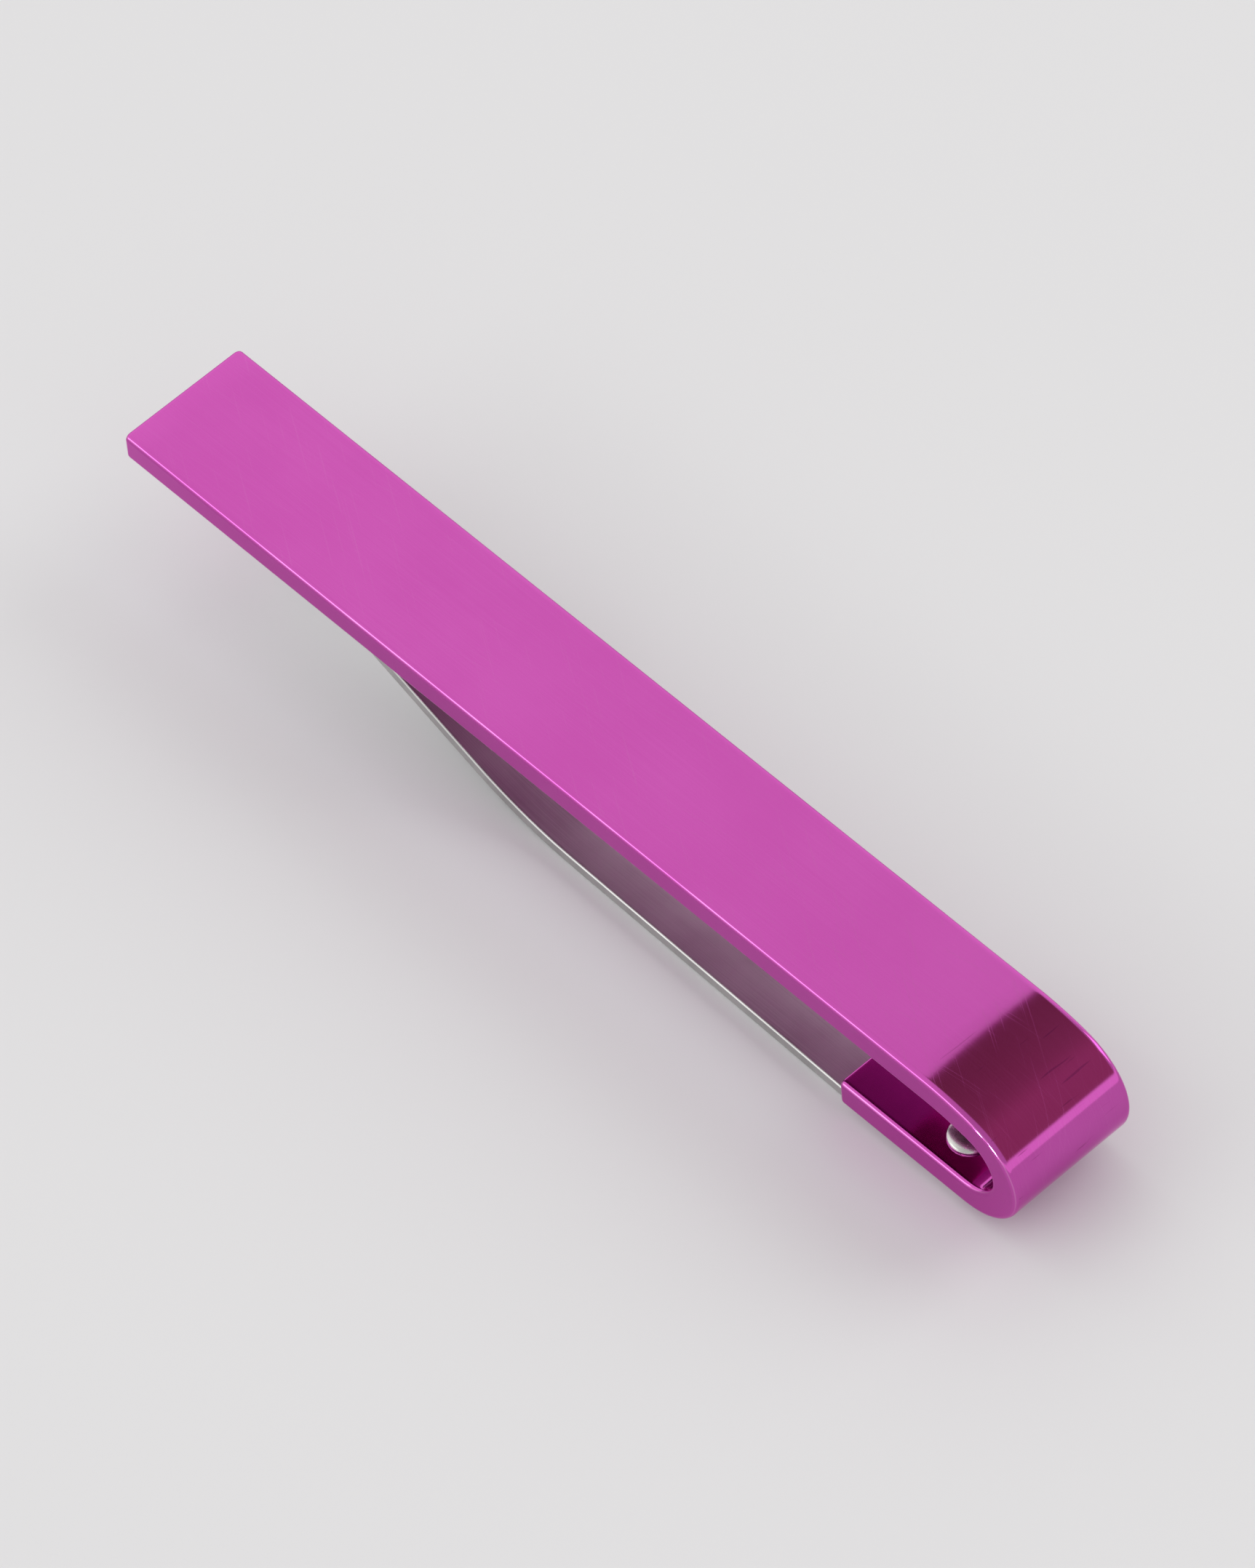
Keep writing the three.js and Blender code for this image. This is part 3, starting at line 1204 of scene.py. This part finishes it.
@dataclass(frozen=True)
class Sky:
    """Wide, soft sky with one dark flag across its back and brighter sky below the flag."""

    backdrop: Colour = (0.78, 0.78, 0.78)
    left_sky: Colour = (1.17, 1.17, 1.17)
    right_sky: Colour = (0.68, 0.68, 0.68)
    low_sky: Colour = (1.15, 1.15, 1.15)
    sky_start: float = math.radians(-44)
    sky_end: float = math.radians(4)
    low_sky_soft: float = math.radians(3)
    flag: Colour = (0.20, 0.12, 0.095)
    far_flag: Colour = (0.37, 0.21, 0.20)
    flag_start: float = math.radians(-26.2)
    flag_turn: float = math.radians(30)
    flag_end: float = math.radians(75)
    flag_soft: float = math.radians(0.6)
    flag_low: float = 0.31
    flag_high: float = 0.48
    flag_side_soft: float = 0.04

    def build(self) -> None:
        """Makes the sky by direction: its tilt from straight up towards the bend says where the flag hangs.

        The camera sees a plain backdrop in its place, and so does polished metal below the horizon.
        """
        world = bpy.data.worlds.new("studio")
        bpy.context.scene.world = world
        world.use_nodes = True
        graph = Graph(world.node_tree)
        x, y, z = graph.split(graph.node("ShaderNodeTexCoord", output="Generated"))
        tilt = graph.node("ShaderNodeMath", {"operation": "ARCTAN2"}, {0: x, 1: z})
        begun = graph.step(tilt, self.flag_start, self.flag_soft)
        ended = graph.step(tilt, self.flag_end, self.low_sky_soft)
        above = graph.step(y, self.flag_low, self.flag_side_soft)
        below = 1.0 - graph.step(y, self.flag_high, self.flag_side_soft)
        high_sky = graph.mix(graph.smooth(tilt, self.sky_start, self.sky_end), self.left_sky, self.right_sky)
        flag = graph.mix(graph.smooth(tilt, self.flag_start, self.flag_turn), self.flag, self.far_flag)
        flagged = graph.mix(begun * above * below, high_sky, flag)
        sky = graph.node("ShaderNodeBackground", None, {"Color": graph.mix(ended, flagged, self.low_sky)})
        plain = graph.node("ShaderNodeBackground", None, {"Color": rgba(self.backdrop)})
        camera = graph.node("ShaderNodeLightPath", output="Is Camera Ray")
        mirrored = camera.out("Is Glossy Ray") + camera.out("Is Transmission Ray")
        under = graph.node("ShaderNodeMath", {"operation": "LESS_THAN"}, {0: z, 1: 0.0})
        shown = graph.node("ShaderNodeMixShader", None, {0: camera + mirrored * under, 1: sky, 2: plain})
        graph.node("ShaderNodeOutputWorld", None, {"Surface": shown})


@dataclass(frozen=True)
class Studio:
    """Pale floor, soft sky, two soft lamps, and two small low ones for glints on the fold's near edge."""

    sky: Sky = Sky()
    floor_colour: Colour = (0.80, 0.80, 0.806)
    floor_roughness: float = 0.9
    floor_size: float = 1.0
    floor_drop: float = 0.01 * MM
    lamps: Sequence[Lamp] = (
        Lamp("back_lamp", Vector((0.30, 0.80, 0.52)), size=(0.93, 0.93), radiance=1.7),
        Lamp("front_strip", Vector((-0.40, -0.80, 0.45)), size=(1.00, 0.27), radiance=1.8),
        Lamp("first_spark", Vector((-0.07, -0.99, 0.08)), size=(0.13, 0.18), radiance=56.0, glint=True),
        Lamp("second_spark", Vector((0.27, -0.96, 0.09)), size=(0.24, 0.18), radiance=56.0, glint=True),
    )

    def floor(self) -> None:
        """Lays the flat matte floor."""
        half = self.floor_size / 2.0
        corners = np.array([(-half, -half), (half, -half), (half, half), (-half, half)])
        points = np.column_stack([corners, np.full(len(corners), -self.floor_drop)])
        floor = new_piece("floor", points, [range(len(corners))], {})
        material, graph = new_material("matte_floor")
        graph.principled({
            "Base Color": rgba(self.floor_colour),
            "Roughness": self.floor_roughness,
            "Specular IOR Level": 0.0,
        })
        dress(floor, material)

    def build(self, bar: Piece) -> None:
        """Sets the stage.

        Args:
            bar: The polished bar, which alone takes the glints.
        """
        self.sky.build()
        self.floor()
        polished = bpy.data.collections.new("polished")
        polished.objects.link(bar)
        for lamp in self.lamps:
            lamp.build(polished)


def main() -> None:
    """Builds the clip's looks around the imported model."""
    logging.basicConfig(level=logging.INFO, format="%(name)s: %(message)s")
    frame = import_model()
    bpy.context.scene.view_settings.view_transform = "Standard"

    corners = [np.array([vertex.co for vertex in node.data.vertices]) for node in frame["nodes"].values()]
    PhotoCamera().build(np.concatenate(corners))

    bar = FoldedBar(*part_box("folded_bar"))
    foot_low, foot_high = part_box("leg_foot")
    _, leg_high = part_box("spring_leg")
    rivet_low, rivet_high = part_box(RivetSide.LEFT.value)
    middle = (rivet_low + rivet_high) / 2.0
    rivets = Rivets(place_x=middle.x, spacing=2.0 * middle.y, return_top=bar.return_top)
    leaf = SpringLeaf(
        foot_x=foot_high.x,
        flex_x=(leg_high.x + foot_low.x) / 2.0,
        root_width=foot_high.y - foot_low.y,
        thickness=foot_high.z,
        bar_end_x=bar.low.x,
        crest_top=leg_high.z,
    )
    polished_bar = bar.build(rivets, DyedPolish())
    rolled_leaf = leaf.build(rivets, RolledSteel())
    for piece in (polished_bar, rolled_leaf, *rivets.build(TurnedSteel())):
        log.info("%s: %d points, %d faces", piece.name, len(piece.data.vertices), len(piece.data.polygons))
    Studio().build(polished_bar)


if __name__ == "__main__":
    main()
